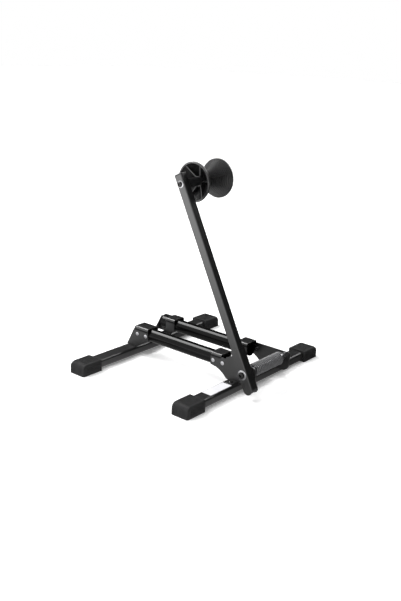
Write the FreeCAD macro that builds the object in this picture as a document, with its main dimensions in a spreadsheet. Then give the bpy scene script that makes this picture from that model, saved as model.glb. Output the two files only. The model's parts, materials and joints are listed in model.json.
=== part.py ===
import FreeCAD, Part
import Sketcher
import math
import os

Vector = FreeCAD.Vector

# Floor bike rack: two square-section legs joined by two round cross tubes, and a sprung arm
# with a grooved roller that leans over the wheel slot between the tubes.
# X runs along the cross tubes, Y along the legs, Z up. The origin is on the floor, midway
# between the legs. Front is -Y and right, the arm's side, is +X.
# Lengths are in millimetres, angles in degrees.
SIZES = {
    # legs and their moulded end caps
    "leg_span": 258.0,
    "leg_width": 30.0,
    "leg_height": 17.0,
    "leg_wall": 1.5,
    "leg_corner": 5.0,
    "leg_length": 394.0,
    "cap_side": 4.0,
    "cap_floor": 3.0,
    "cap_roof": 3.0,
    "cap_end": 6.0,
    "cap_length": 47.0,
    "cap_fit": 0.1,
    "cap_end_round": 11.0,
    "cap_edge_round": 3.5,
    "label_length": 59.0,
    "label_width": 21.0,
    "label_thickness": 0.2,
    "label_centre_y": -101.5,
    # cross tubes
    "tube_diameter": 25.4,
    "tube_wall": 1.5,
    "tube_spacing": 79.0,
    "tube_height": 47.0,
    "tube_left": -131.0,
    "tube_length": 237.0,
    # bent sheet brackets
    "sheet": 2.0,
    "sheet_bend": 3.5,
    "tube_fit": 0.2,
    "web_relief": 4.8,
    "left_top": -124.0,
    "left_web_start": -120.0,
    "left_foot_start": -144.0,
    "left_foot_end": -119.0,
    "left_inboard_top": -90.0,
    "left_inboard_low": -86.5,
    "right_inboard": 75.0,
    "right_web_end": 99.5,
    "right_foot_start": 113.5,
    "inner_foot_end": 118.0,
    "inner_top_end": 127.0,
    "right_edge": 176.2,
    "low_edge": 39.3,
    "foot_sweep": 63.5,
    "edge_corner": 5.0,
    "lower_corner": 16.0,
    "flange_start": 123.0,
    "flange_length": 16.0,
    "flange_reach": 17.0,
    "flange_corner": 4.0,
    # rivets
    "rivet_head": 9.0,
    "rivet_rise": 1.5,
    "rivet_shank": 4.8,
    "rivet_fit": 0.1,
    "left_rivet_out": -117.0,
    "left_rivet_in": -94.0,
    "right_rivet_in": 79.5,
    "right_rivet_out": 101.5,
    # pivot
    "pivot_x": 162.9,
    "pivot_z": 48.0,
    "pivot_bolt": 8.0,
    "pivot_head": 14.0,
    "pivot_head_height": 4.4,
    "pivot_socket": 5.0,
    "pivot_washer": 21.0,
    "pivot_washer_thickness": 1.6,
    "pivot_bush": 12.0,
    "pivot_spacer": 14.0,
    "pivot_nut_across": 13.0,
    "pivot_nut_height": 8.0,
    "bolt_fit": 0.1,
    "running_fit": 0.05,
    "end_play": 0.15,
    # torsion spring
    "spring_mean_radius": 10.8,
    "spring_wire": 3.2,
    "spring_turns": 18.0,
    "spring_start": -42.0,
    "spring_end": 40.0,
    "spring_bend": 3.6,
    "spring_tail_angle": 70.0,
    # arm
    "arm_lean": 26.36,
    "arm_reach": 355.2,
    "arm_width": 18.0,
    "arm_depth": 16.2,
    "arm_wall": 1.5,
    "arm_corner": 3.0,
    "arm_over": 16.0,
    "arm_foot": 28.0,
    "arm_gap": 0.2,
    "sleeve_sheet": 1.5,
    "sleeve_bend": 2.5,
    "sleeve_top": 47.0,
    "stop_gap": 0.3,
    "stop_left": 112.0,
    "stop_length": 12.0,
    "stop_lap": 4.2,
    "stop_rise": 5.0,
    "stop_root": 35.0,
    "plug_stud": 14.0,
    "plug_rim": 3.0,
    "plug_fit": 0.1,
    # roller and its axle
    "roller_radius": 37.0,
    "roller_half": 33.0,
    "roller_rim": 4.0,
    "roller_rim_round": 1.8,
    "roller_waist": 12.5,
    "roller_rings": 12,
    "roller_skin": 2.2,
    "roller_rim_wall": 3.2,
    "hub_radius": 9.0,
    "hub_half": 24.0,
    "hub_bush_length": 15.0,
    "hub_bush_radius": 6.5,
    "rib_count": 6,
    "rib_thickness": 2.0,
    "rib_recess": 2.0,
    "axle_bolt": 6.0,
    "axle_head": 11.0,
    "axle_head_height": 3.3,
    "axle_socket": 4.0,
    "axle_washer": 16.0,
    "axle_washer_thickness": 1.2,
    "axle_sleeve": 10.0,
    "axle_spacer": 16.0,
    "axle_nut_across": 10.0,
    "axle_nut_height": 6.0,
    "bolt_overrun": 2.0,
}


class Size:
    """A length or an angle: its number, and the sheet formula that gives it."""

    def __init__(self, value, formula=None):
        self.value = float(value)
        self.formula = "%g" % self.value if formula is None else formula

    def joined(self, sign, other, value):
        return Size(value, "(%s %s %s)" % (self.formula, sign, other.formula))

    def __add__(self, other):
        other = as_size(other)
        return self.joined("+", other, self.value + other.value)

    def __radd__(self, other):
        return as_size(other) + self

    def __sub__(self, other):
        other = as_size(other)
        return self.joined("-", other, self.value - other.value)

    def __rsub__(self, other):
        return as_size(other) - self

    def __mul__(self, other):
        other = as_size(other)
        return self.joined("*", other, self.value * other.value)

    def __rmul__(self, other):
        return as_size(other) * self

    def __truediv__(self, other):
        other = as_size(other)
        return self.joined("/", other, self.value / other.value)

    def __neg__(self):
        return Size(-self.value, "(-1 * %s)" % self.formula)


def as_size(number):
    return number if isinstance(number, Size) else Size(number)


def sine(angle):
    return Size(math.sin(math.radians(angle.value)), "sin(%s)" % angle.formula)


def cosine(angle):
    return Size(math.cos(math.radians(angle.value)), "cos(%s)" % angle.formula)


doc = FreeCAD.newDocument("floor_bike_rack")
sheet = doc.addObject("Spreadsheet::Sheet", "Sizes")
for row, (alias, number) in enumerate(SIZES.items(), start=1):
    sheet.set("A%d" % row, alias)
    sheet.set("B%d" % row, str(number))
    sheet.setAlias("B%d" % row, alias)
doc.recompute()


def cell(alias):
    return Size(SIZES[alias], "Sizes." + alias)


ZERO = as_size(0)
PARTS = []


# ---------------------------------------------------------------- modelling helpers

def bind(thing, prop, size):
    """Ties one property of an object to the sheet."""
    thing.setExpression(prop, as_size(size).formula)


def new_body(name, x=ZERO, y=ZERO, z=ZERO):
    body = doc.addObject("PartDesign::Body", name)
    body.Label = name
    bind(body, "Placement.Base.x", x)
    bind(body, "Placement.Base.y", y)
    bind(body, "Placement.Base.z", z)
    return body


def keep(thing):
    """Adds a finished sub-part to the list that is written out."""
    PARTS.append(thing)
    return thing


def origin_feature(body, role):
    return next(item for item in body.Origin.OriginFeatures if item.Role == role)


def new_sketch(body, name, plane, height=ZERO):
    """A sketch on one of the body's own planes, moved along that plane's normal."""
    sketch = body.newObject("Sketcher::SketchObject", name)
    sketch.AttachmentSupport = (origin_feature(body, plane), [""])
    sketch.MapMode = "FlatFace"
    bind(sketch, "AttachmentOffset.Base.z", height)
    return sketch


def side_sketch(body, name, y):
    """A sketch in an XZ plane at y; what is made from it runs towards -Y."""
    return new_sketch(body, name, "XZ_Plane", -as_size(y))


def hold(sketch, kind, place, size):
    """Adds one driving constraint that takes its value from the sheet."""
    size = as_size(size)
    index = sketch.addConstraint(Sketcher.Constraint(kind, *place, size.value))
    sketch.setExpression("Constraints[%d]" % index, size.formula)


def arc_between(start, stop, radius):
    """The short arc from start to stop, turning left for a positive radius."""
    half = (stop - start) * 0.5
    middle = start + half
    left = Vector(-half.y, half.x, 0)
    left.normalize()
    rise = math.sqrt(max(radius * radius - half.Length ** 2, 0.0))
    centre = middle + left * math.copysign(rise, radius)
    first, last = (start, stop) if radius > 0 else (stop, start)
    angles = [math.atan2(point.y - centre.y, point.x - centre.x) for point in (first, last)]
    if angles[1] < angles[0]:
        angles[1] += 2 * math.pi
    circle = Part.Circle(centre, Vector(0, 0, 1), abs(radius))
    return Part.ArcOfCircle(circle, angles[0], angles[1])


def outline(sketch, corners):
    """A closed outline. A corner's third value is the radius of the arc that leaves it."""
    corners = [[as_size(value) for value in corner] for corner in corners]
    points = [Vector(corner[0].value, corner[1].value, 0) for corner in corners]
    count = len(corners)
    first = len(sketch.Geometry)
    ends = []
    for index, corner in enumerate(corners):
        start, stop = points[index], points[(index + 1) % count]
        if len(corner) == 3:
            sketch.addGeometry(arc_between(start, stop, corner[2].value))
            ends.append((1, 2) if corner[2].value > 0 else (2, 1))
        else:
            sketch.addGeometry(Part.LineSegment(start, stop))
            ends.append((1, 2))
    for index, corner in enumerate(corners):
        here = first + index
        after = (index + 1) % count
        join = (here, ends[index][1], first + after, ends[after][0])
        sketch.addConstraint(Sketcher.Constraint("Coincident", *join))
        hold(sketch, "DistanceX", (here, ends[index][0]), corner[0])
        hold(sketch, "DistanceY", (here, ends[index][0]), corner[1])
        if len(corner) == 3:
            reach = corner[2] if corner[2].value > 0 else -corner[2]
            hold(sketch, "Radius", (here,), reach)


def rounded_rectangle(sketch, left, right, low, high, radius):
    outline(sketch, [
        (left + radius, low), (right - radius, low, radius),
        (right, low + radius), (right, high - radius, radius),
        (right - radius, high), (left + radius, high, radius),
        (left, high - radius), (left, low + radius, radius),
    ])


def circle(sketch, x, y, diameter):
    centre = Vector(as_size(x).value, as_size(y).value, 0)
    radius = as_size(diameter) / 2
    index = sketch.addGeometry(Part.Circle(centre, Vector(0, 0, 1), radius.value))
    hold(sketch, "DistanceX", (index, 3), x)
    hold(sketch, "DistanceY", (index, 3), y)
    hold(sketch, "Radius", (index,), radius)


def pad(body, sketch, length):
    feature = body.newObject("PartDesign::Pad", sketch.Name + "_pad")
    feature.Profile = sketch
    bind(feature, "Length", length)
    doc.recompute()
    return feature


def pocket(body, sketch, length):
    """Cuts along the sketch's normal, the way a pad from the same sketch would grow."""
    before = body.Tip.Shape.Volume
    feature = body.newObject("PartDesign::Pocket", sketch.Name + "_cut")
    feature.Profile = sketch
    feature.Reversed = True
    bind(feature, "Length", length)
    doc.recompute()
    if feature.Shape.Volume > before - 0.01:
        raise RuntimeError("the cut %s removes nothing" % feature.Name)
    return feature


def revolve(body, sketch, axis_role):
    feature = body.newObject("PartDesign::Revolution", sketch.Name + "_turned")
    feature.Profile = sketch
    feature.ReferenceAxis = (origin_feature(body, axis_role), [""])
    feature.Angle = 360
    doc.recompute()
    return feature


def edges_at(shape, along, places):
    """Names of the straight edges along one axis whose other coordinates match a place."""
    axis = "xyz".index(along)
    names = []
    for number, edge in enumerate(shape.Edges, start=1):
        if not isinstance(edge.Curve, Part.Line):
            continue
        start, stop = edge.Vertexes[0].Point, edge.Vertexes[-1].Point
        run = [abs(stop[i] - start[i]) for i in range(3)]
        if run[axis] < 0.5 or sum(run) - run[axis] > 1e-4:
            continue
        for place in places:
            wanted = [as_size(value).value for value in place]
            others = [start[i] for i in range(3) if i != axis]
            if max(abs(a - b) for a, b in zip(wanted, others)) < 1e-3:
                names.append("Edge%d" % number)
    return names


def fillet(body, radius, names):
    if not names:
        raise RuntimeError("no edge to round on %s" % body.Name)
    base = body.Tip
    feature = body.newObject("PartDesign::Fillet", body.Name + "_fillet")
    feature.Base = (base, names)
    bind(feature, "Radius", radius)
    doc.recompute()
    return feature


def hollow_rod(name, outer, inner, length, x, y_end, z):
    """A plain ring or tube along Y that starts at y_end and runs towards -Y."""
    body = new_body(name, x, ZERO, z)
    sketch = side_sketch(body, name + "_section", y_end)
    circle(sketch, 0, 0, outer)
    circle(sketch, 0, 0, inner)
    pad(body, sketch, length)
    return body


def group(name, members):
    """Identical loose pieces that share one node."""
    compound = doc.addObject("Part::Compound", name)
    compound.Label = name
    compound.Links = members
    doc.recompute()
    return compound


# ---------------------------------------------------------------- places worked out once

floor_top = cell("cap_floor")
leg_top = floor_top + cell("leg_height")
tube_radius = cell("tube_diameter") / 2
plate_inside = tube_radius + cell("tube_fit")
plate_outside = plate_inside + cell("sheet")
web_top = cell("tube_height") + tube_radius + cell("sheet")
plate_top = web_top - cell("web_relief")
tube_y = cell("tube_spacing") / 2
base_half = tube_y + plate_outside

sleeve_inner = -base_half - cell("arm_gap")
arm_inner = sleeve_inner - cell("sleeve_sheet")
arm_outer = arm_inner - cell("arm_depth")
sleeve_outer = arm_outer - cell("sleeve_sheet")
arm_half = cell("arm_width") / 2
bush_outer = sleeve_outer - cell("end_play")
pivot_hole = cell("pivot_bolt") + 2 * cell("bolt_fit")
bush_hole = cell("pivot_bush") + 2 * cell("running_fit")
axle_hole = cell("axle_bolt") + 2 * cell("bolt_fit")


def to_arm(x, z):
    """Rack coordinates in the XZ plane turned into the leaning arm's own."""
    across = x - cell("pivot_x")
    up = z - cell("pivot_z")
    lean = cell("arm_lean")
    return (across * cosine(lean) + up * sine(lean), up * cosine(lean) - across * sine(lean))


def arm_body(name, reach=ZERO, y=ZERO):
    """A body in the arm's own frame: Z along the arm, from the pivot or further up."""
    lean = cell("arm_lean")
    x = cell("pivot_x") - reach * sine(lean)
    z = cell("pivot_z") + reach * cosine(lean)
    body = new_body(name, x, y, z)
    turned = FreeCAD.Rotation(Vector(0, -1, 0), lean.value)
    body.Placement = FreeCAD.Placement(Vector(x.value, as_size(y).value, z.value), turned)
    bind(body, "Placement.Rotation.Angle", lean)
    return body


# ---------------------------------------------------------------- legs, caps and label

def make_leg(name, side):
    """A leg of rounded rectangular tube; the right one has holes for the foot rivets."""
    body = new_body(name, side * cell("leg_span") / 2, ZERO, floor_top)
    half, wall, corner = cell("leg_width") / 2, cell("leg_wall"), cell("leg_corner")
    sketch = side_sketch(body, name + "_section", cell("leg_length") / 2)
    rounded_rectangle(sketch, -half, half, ZERO, cell("leg_height"), corner)
    rounded_rectangle(sketch, wall - half, half - wall, wall, cell("leg_height") - wall,
                      corner - wall)
    pad(body, sketch, cell("leg_length"))
    if side > 0:
        holes = new_sketch(body, name + "_holes", "XY_Plane", cell("leg_height") - 2 * wall)
        for end in (-1, 1):
            x, y = flange_rivet_place(end)
            circle(holes, x - cell("leg_span") / 2, end * tube_y + y,
                   cell("rivet_shank") + 2 * cell("rivet_fit"))
        pocket(body, holes, 4 * wall)
    return keep(body)


def make_end_cap(name, side, end):
    """A moulded cap that slides over a leg's end; built for the front, turned for the rear."""
    body = new_body(name, side * cell("leg_span") / 2, end * cell("leg_length") / 2)
    if end > 0:
        body.Placement.Rotation = FreeCAD.Rotation(Vector(0, 0, 1), 180)
    half = cell("leg_width") / 2 + cell("cap_fit")
    outer = cell("leg_width") / 2 + cell("cap_side")
    mouth = cell("cap_length") - cell("cap_end")
    high = leg_top + cell("cap_roof")
    sketch = side_sketch(body, name + "_block", mouth)
    outline(sketch, [(-outer, 0), (outer, 0), (outer, high), (-outer, high)])
    pad(body, sketch, cell("cap_length"))
    fillet(body, cell("cap_end_round"),
           edges_at(body.Tip.Shape, "x", [(-cell("cap_end"), high)]))
    rim = [number for number, edge in enumerate(body.Tip.Shape.Edges, start=1)
           if on_cap_side(edge, outer.value, mouth.value)]
    fillet(body, cell("cap_edge_round"), ["Edge%d" % number for number in rim])
    hole = side_sketch(body, name + "_hollow", mouth)
    rounded_rectangle(hole, -half, half, floor_top - cell("cap_fit"), leg_top + cell("cap_fit"),
                      cell("leg_corner"))
    pocket(body, hole, mouth)
    return keep(body)


def on_cap_side(edge, outer, mouth):
    """True for the edges round the cap's two sides, all but those at its mouth and floor."""
    middle = edge.CenterOfMass
    on_side = all(abs(abs(vertex.Point.x) - outer) < 1e-3 for vertex in edge.Vertexes)
    return on_side and middle.y < mouth - 1e-3 and middle.z > 1e-3


def make_label():
    body = new_body("leg_label", cell("leg_span") / 2, cell("label_centre_y"), leg_top)
    half = cell("label_width") / 2
    sketch = side_sketch(body, "leg_label_edge", cell("label_length") / 2)
    outline(sketch, [(-half, 0), (half, 0), (half, cell("label_thickness")),
                     (-half, cell("label_thickness"))])
    pad(body, sketch, cell("label_length"))
    return keep(body)


# ---------------------------------------------------------------- cross tubes

RIVET_PLACES = ["left_rivet_out", "left_rivet_in", "right_rivet_in", "right_rivet_out"]


def make_cross_tube(name, side):
    body = new_body(name, ZERO, side * tube_y, cell("tube_height"))
    sketch = new_sketch(body, name + "_section", "YZ_Plane", cell("tube_left"))
    circle(sketch, 0, 0, cell("tube_diameter"))
    circle(sketch, 0, 0, cell("tube_diameter") - 2 * cell("tube_wall"))
    pad(body, sketch, cell("tube_length"))
    holes = side_sketch(body, name + "_holes", cell("tube_diameter"))
    for place in RIVET_PLACES:
        circle(holes, cell(place), 0, cell("rivet_shank") + 2 * cell("rivet_fit"))
    pocket(body, holes, 2 * cell("tube_diameter"))
    return keep(body)


# ---------------------------------------------------------------- bent sheet brackets
# Each bracket is a channel of bent sheet over one end of a cross tube. It is drawn about the
# tube's axis in Y and about the floor in Z. out is -1 when its outer plate faces the front.

def bracket_plate(body, name, out, corners):
    """One side plate; out is the side of the tube that it stands on."""
    low, high = sorted((out * plate_inside, out * plate_outside), key=lambda size: size.value)
    sketch = side_sketch(body, name, high)
    outline(sketch, corners)
    pad(body, sketch, high - low)


def bracket_web(body, name, start, stop):
    """The top of the channel between the two plates, with the bends at its sides."""
    bend, inside = cell("sheet_bend"), cell("sheet_bend") - cell("sheet")
    under = web_top - cell("sheet")
    low = web_top - cell("web_relief") - cell("sheet")
    sketch = new_sketch(body, name, "YZ_Plane", start)
    outline(sketch, [
        (-plate_outside, low), (-plate_inside, low),
        (-plate_inside, under - inside, -inside), (inside - plate_inside, under),
        (plate_inside - inside, under, -inside), (plate_inside, under - inside),
        (plate_inside, low), (plate_outside, low),
        (plate_outside, web_top - bend, bend), (plate_outside - bend, web_top),
        (bend - plate_outside, web_top, bend), (-plate_outside, web_top - bend),
    ])
    pad(body, sketch, stop - start)


def bracket_holes(body, name, places, diameter, height):
    sketch = side_sketch(body, name, 2 * plate_outside)
    for place in places:
        circle(sketch, place, height, diameter)
    pocket(body, sketch, 4 * plate_outside)


def make_left_bracket(name, side):
    body = new_body(name, ZERO, side * tube_y)
    corners = [
        (cell("left_foot_start"), leg_top),
        (cell("left_foot_end"), leg_top, -cell("foot_sweep")),
        (cell("left_inboard_low"), cell("low_edge")),
        (cell("left_inboard_top"), plate_top),
        (cell("left_top"), plate_top),
    ]
    bracket_web(body, name + "_web", cell("left_web_start"), cell("left_inboard_top"))
    bracket_plate(body, name + "_outer", side, corners)
    bracket_plate(body, name + "_inner", -side, corners)
    bracket_holes(body, name + "_rivets", [cell("left_rivet_out"), cell("left_rivet_in")],
                  cell("rivet_shank") + 2 * cell("rivet_fit"), cell("tube_height"))
    return keep(body)


def make_right_bracket(name, side):
    body = new_body(name, ZERO, side * tube_y)
    inboard, web_end, edge = cell("right_inboard"), cell("right_web_end"), cell("right_edge")
    bracket_web(body, name + "_web", inboard, web_end)
    bracket_plate(body, name + "_outer", side, [
        (cell("right_foot_start"), leg_top), (edge, leg_top), (edge, plate_top),
        (inboard, plate_top), (inboard, cell("low_edge"), -cell("foot_sweep")),
    ])
    outer_y = (side * plate_inside, side * plate_outside)
    fillet(body, cell("lower_corner"), edges_at(body.Tip.Shape, "y", [(edge, leg_top)]))
    fillet(body, cell("edge_corner"), edges_at(body.Tip.Shape, "y", [(edge, plate_top)]))
    bracket_plate(body, name + "_inner", -side, [
        (cell("right_foot_start"), leg_top), (cell("inner_foot_end"), leg_top),
        (cell("inner_top_end"), plate_top), (inboard, plate_top),
        (inboard, cell("low_edge"), -cell("foot_sweep")),
    ])
    add_foot_flange(body, name, side, outer_y)
    bracket_holes(body, name + "_rivets", [cell("right_rivet_in"), cell("right_rivet_out")],
                  cell("rivet_shank") + 2 * cell("rivet_fit"), cell("tube_height"))
    bracket_holes(body, name + "_pivot", [cell("pivot_x")], pivot_hole, cell("pivot_z"))
    if side > 0:
        cut_spring_notch(body, name)
    return keep(body)


def flange_rivet_place(side):
    x = cell("flange_start") + cell("flange_length") / 2
    return x, side * (plate_outside + cell("flange_reach") / 2)


def add_foot_flange(body, name, side, outer_y):
    """The foot bent outwards from the outer plate, which is riveted to the leg."""
    start = cell("flange_start")
    stop = start + cell("flange_length")
    low, high = sorted((outer_y[0], outer_y[1] + side * cell("flange_reach")),
                       key=lambda size: size.value)
    sketch = new_sketch(body, name + "_flange", "XY_Plane", leg_top)
    outline(sketch, [(start, low), (stop, low), (stop, high), (start, high)])
    pad(body, sketch, cell("sheet"))
    tip = outer_y[1] + side * cell("flange_reach")
    fillet(body, cell("flange_corner"), edges_at(body.Tip.Shape, "z", [(start, tip), (stop, tip)]))
    hole = new_sketch(body, name + "_flange_hole", "XY_Plane", leg_top)
    x, y = flange_rivet_place(side)
    circle(hole, x, y, cell("rivet_shank") + 2 * cell("rivet_fit"))
    pocket(body, hole, 2 * cell("sheet"))


def cut_spring_notch(body, name):
    """A notch in the rear plate's top edge that anchors the spring's tail."""
    x, z = spring_tail_place()
    half = cell("spring_wire") / 2 + cell("bolt_fit")
    sketch = side_sketch(body, name + "_notch", plate_outside)
    outline(sketch, [(x - half, z, half), (x, z - half, half), (x + half, z),
                     (x + half, web_top), (x - half, web_top)])
    pocket(body, sketch, cell("sheet"))


# ---------------------------------------------------------------- rivets

def rivet_body(name, x, y, z, grip, turned=None):
    """A headed tubular rivet along its own Z, with a domed head at each end of its grip."""
    body = new_body(name, x, y, z)
    if turned is not None:
        place = Vector(x.value, y.value, z.value)
        body.Placement = FreeCAD.Placement(place, turned)
    shank, head, rise = cell("rivet_shank") / 2, cell("rivet_head") / 2, cell("rivet_rise")
    half = grip / 2
    rim = rise / 3
    dome = head
    sketch = new_sketch(body, name + "_profile", "XZ_Plane")
    outline(sketch, [
        (0, -half - rise), (head / 2, -half - rise, dome), (head, -half - rim),
        (head, -half), (shank, -half), (shank, half), (head, half),
        (head, half + rim, dome), (head / 2, half + rise), (0, half + rise),
    ])
    revolve(body, sketch, "Z_Axis")
    return body


def make_bracket_rivets():
    """Eight rivets, two through each bracket and the tube inside it."""
    along_y = FreeCAD.Rotation(Vector(1, 0, 0), 90)
    rivets = []
    for side in (-1, 1):
        for place in RIVET_PLACES:
            name = "rivet_%s_%s" % ("rear" if side > 0 else "front", place)
            rivets.append(rivet_body(name, cell(place), side * tube_y, cell("tube_height"),
                                     2 * plate_outside, along_y))
    return keep(group("bracket_rivets", rivets))


def make_foot_rivets():
    """Two rivets that hold the feet of the right brackets down on the leg."""
    rivets = []
    grip = cell("sheet") + cell("leg_wall")
    for side, name in ((-1, "foot_rivet_front"), (1, "foot_rivet_rear")):
        x, y = flange_rivet_place(side)
        middle = leg_top - cell("leg_wall") + grip / 2
        rivets.append(rivet_body(name, x, side * tube_y + y, middle, grip))
    return keep(group("foot_rivets", rivets))


# ---------------------------------------------------------------- bolts, nuts and rings

def socket_bolt(name, x, z, sizes, head_under, length):
    """A button-head socket bolt along +Y; its head's underside is at y = head_under."""
    shank, head, height, across = sizes
    body = new_body(name, x, head_under, z)
    crown = height * 0.3
    sketch = new_sketch(body, name + "_profile", "XY_Plane")
    outline(sketch, [
        (0, -height), (head * 0.3, -height, head * 0.4), (head / 2, -crown), (head / 2, 0),
        (shank / 2, 0), (shank / 2, length), (0, length),
    ])
    revolve(body, sketch, "Y_Axis")
    hexagon(body, name + "_socket", across, -height + crown * 2, crown * 2)
    return keep(body)


def hexagon(body, name, across, y, depth, cut=True):
    """A six-sided prism along Y, cut or added from y towards -Y."""
    flat = across / 2
    corner = across / math.sqrt(3)
    sketch = side_sketch(body, name, y)
    outline(sketch, [
        (corner, 0), (corner / 2, flat), (-corner / 2, flat),
        (-corner, 0), (-corner / 2, -flat), (corner / 2, -flat),
    ])
    if cut:
        pocket(body, sketch, depth)
    else:
        pad(body, sketch, depth)


def lock_nut(name, x, y, z, across, height, bore):
    """A hexagon nut with a round locking collar on its outer end."""
    body = new_body(name, x, y, z)
    hexagon(body, name + "_hexagon", across, height * 0.7, height * 0.7, cut=False)
    collar = side_sketch(body, name + "_collar", height)
    circle(collar, 0, 0, across * 0.84)
    pad(body, collar, height * 0.4)
    hole = side_sketch(body, name + "_bore", height)
    circle(hole, 0, 0, bore)
    pocket(body, hole, height)
    return keep(body)


def make_pivot():
    x, z = cell("pivot_x"), cell("pivot_z")
    thick = cell("pivot_washer_thickness")
    head_under = bush_outer - thick
    overrun = cell("pivot_nut_height") + cell("bolt_overrun")
    length = base_half + thick + overrun - head_under
    socket_bolt("pivot_bolt", x, z,
                (cell("pivot_bolt"), cell("pivot_head"), cell("pivot_head_height"),
                 cell("pivot_socket")), head_under, length)
    keep(hollow_rod("pivot_bush", cell("pivot_bush"), pivot_hole, -base_half - bush_outer,
                    x, -base_half, z))
    inside = base_half - cell("sheet")
    keep(hollow_rod("pivot_spacer", cell("pivot_spacer"), pivot_hole, 2 * inside, x, inside, z))
    washers = [
        hollow_rod("pivot_washer_front", cell("pivot_washer"), pivot_hole, thick,
                   x, bush_outer, z),
        hollow_rod("pivot_washer_rear", cell("pivot_washer"), pivot_hole, thick,
                   x, base_half + thick, z),
    ]
    keep(group("pivot_washers", washers))
    lock_nut("pivot_nut", x, base_half + thick, z, cell("pivot_nut_across"),
             cell("pivot_nut_height"), pivot_hole)


# ---------------------------------------------------------------- torsion spring

def spring_tail_place():
    """Where the spring's rear tail crosses the rear plate, in X and Z."""
    radius, bend, angle = cell("spring_mean_radius"), cell("spring_bend"), cell("spring_tail_angle")
    x = cell("pivot_x") + radius * cosine(angle) + bend * sine(angle)
    z = cell("pivot_z") + radius * sine(angle) - bend * cosine(angle)
    return x, z


def bend_points(start, tangent, target, radius):
    """Start, middle and end of the arc that turns from one direction to another."""
    normal = target - tangent * tangent.dot(target)
    normal.normalize()
    turn = math.acos(max(-1.0, min(1.0, tangent.dot(target))))

    def at(angle):
        return start + (tangent * math.sin(angle) + normal * (1 - math.cos(angle))) * radius
    return at(turn / 2), at(turn)


def tangent_arc(start, tangent, stop):
    """The arc from start, leaving along tangent, to stop."""
    chord = stop - start
    length = chord.Length
    chord.normalize()
    bow = tangent - chord * tangent.dot(chord)
    bow.normalize()
    angle = math.acos(max(-1.0, min(1.0, tangent.dot(chord))))
    middle = (start + stop) * 0.5 + bow * (length / 2 * math.tan(angle / 2))
    return Part.Arc(start, middle, stop).toShape()


def biarc(start, first, stop, last):
    """Two arcs that join two points and leave and arrive along the given directions."""
    span = stop - start
    both = first + last
    spare = 1 - first.dot(last)
    reach = (-span.dot(both) + math.sqrt(span.dot(both) ** 2 + 2 * spare * span.dot(span)))
    reach /= 2 * spare
    middle = (start + first * reach + stop - last * reach) * 0.5
    back = tangent_arc(stop, last * -1, middle)
    return [tangent_arc(start, first, middle), back.reversed()]


def make_spring():
    """A close torsion spring round the spacer. Both ends turn off along the axis."""
    radius, wire = SIZES["spring_mean_radius"], SIZES["spring_wire"]
    turns, start_y, end_y = SIZES["spring_turns"], SIZES["spring_start"], SIZES["spring_end"]
    bend = SIZES["spring_bend"]
    pitch = (end_y - start_y) / turns
    last_angle = math.radians(SIZES["spring_tail_angle"])
    first_angle = last_angle + 2 * math.pi * turns

    def on_coil(share):
        angle = first_angle + (last_angle - first_angle) * share
        return Vector(radius * math.cos(angle), start_y + (end_y - start_y) * share,
                      radius * math.sin(angle))

    def along_coil(share):
        angle = first_angle + (last_angle - first_angle) * share
        around = Vector(math.sin(angle), 0, -math.cos(angle))
        tangent = around * (2 * math.pi * radius) + Vector(0, pitch, 0)
        tangent.normalize()
        return tangent

    quarters = int(round(turns * 4))
    shares = [step / quarters for step in range(quarters + 1)]
    edges = []
    for here, there in zip(shares, shares[1:]):
        edges += biarc(on_coil(here), along_coil(here), on_coil(there), along_coil(there))
    rear, front = Vector(0, 1, 0), Vector(0, -1, 0)
    middle, turned = bend_points(on_coil(1), along_coil(1), rear, bend)
    edges.append(Part.Arc(on_coil(1), middle, turned).toShape())
    rear_end = Vector(turned.x, base_half.value, turned.z)
    edges.append(Part.LineSegment(turned, rear_end).toShape())
    middle, turned = bend_points(on_coil(0), along_coil(0) * -1, front, bend)
    edges.insert(0, Part.Arc(turned, middle, on_coil(0)).toShape())
    front_end = Vector(turned.x, -base_half.value, turned.z)
    edges.insert(0, Part.LineSegment(front_end, turned).toShape())
    path = Part.Wire(edges)
    print("spring: least gap between turns %.2f mm" % least_gap(path, wire))
    section = Part.Wire([Part.Circle(front_end, rear, wire / 2).toShape()])
    shell = Part.BRepOffsetAPI.MakePipeShell(path)
    shell.add(section)
    shell.build()
    shell.makeSolid()
    spring = doc.addObject("Part::Feature", "torsion_spring")
    spring.Label = "torsion_spring"
    spring.Shape = shell.shape()
    bind(spring, "Placement.Base.x", cell("pivot_x"))
    bind(spring, "Placement.Base.z", cell("pivot_z"))
    return keep(spring)


def least_gap(path, wire):
    """Least clear distance between stretches of the wire that lie apart along it."""
    step = wire / 2
    points = path.discretize(Distance=step)
    apart = int(math.ceil(3 * wire / step))
    return min((one - other).Length for index, one in enumerate(points)
               for other in points[index + apart:]) - wire


# ---------------------------------------------------------------- arm

def make_arm_tube():
    body = arm_body("arm_tube")
    wall, corner = cell("arm_wall"), cell("arm_corner")
    low, high = -cell("arm_foot"), cell("arm_reach") + cell("arm_over")
    sketch = new_sketch(body, "arm_tube_section", "XY_Plane", low)
    rounded_rectangle(sketch, -arm_half, arm_half, arm_outer, arm_inner, corner)
    rounded_rectangle(sketch, wall - arm_half, arm_half - wall, arm_outer + wall,
                      arm_inner - wall, corner - wall)
    pad(body, sketch, high - low)
    holes = side_sketch(body, "arm_tube_holes", arm_inner + wall)
    circle(holes, 0, 0, bush_hole)
    circle(holes, 0, cell("arm_reach"), axle_hole)
    pocket(body, holes, cell("arm_depth") + 2 * wall)
    return keep(body)


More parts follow.
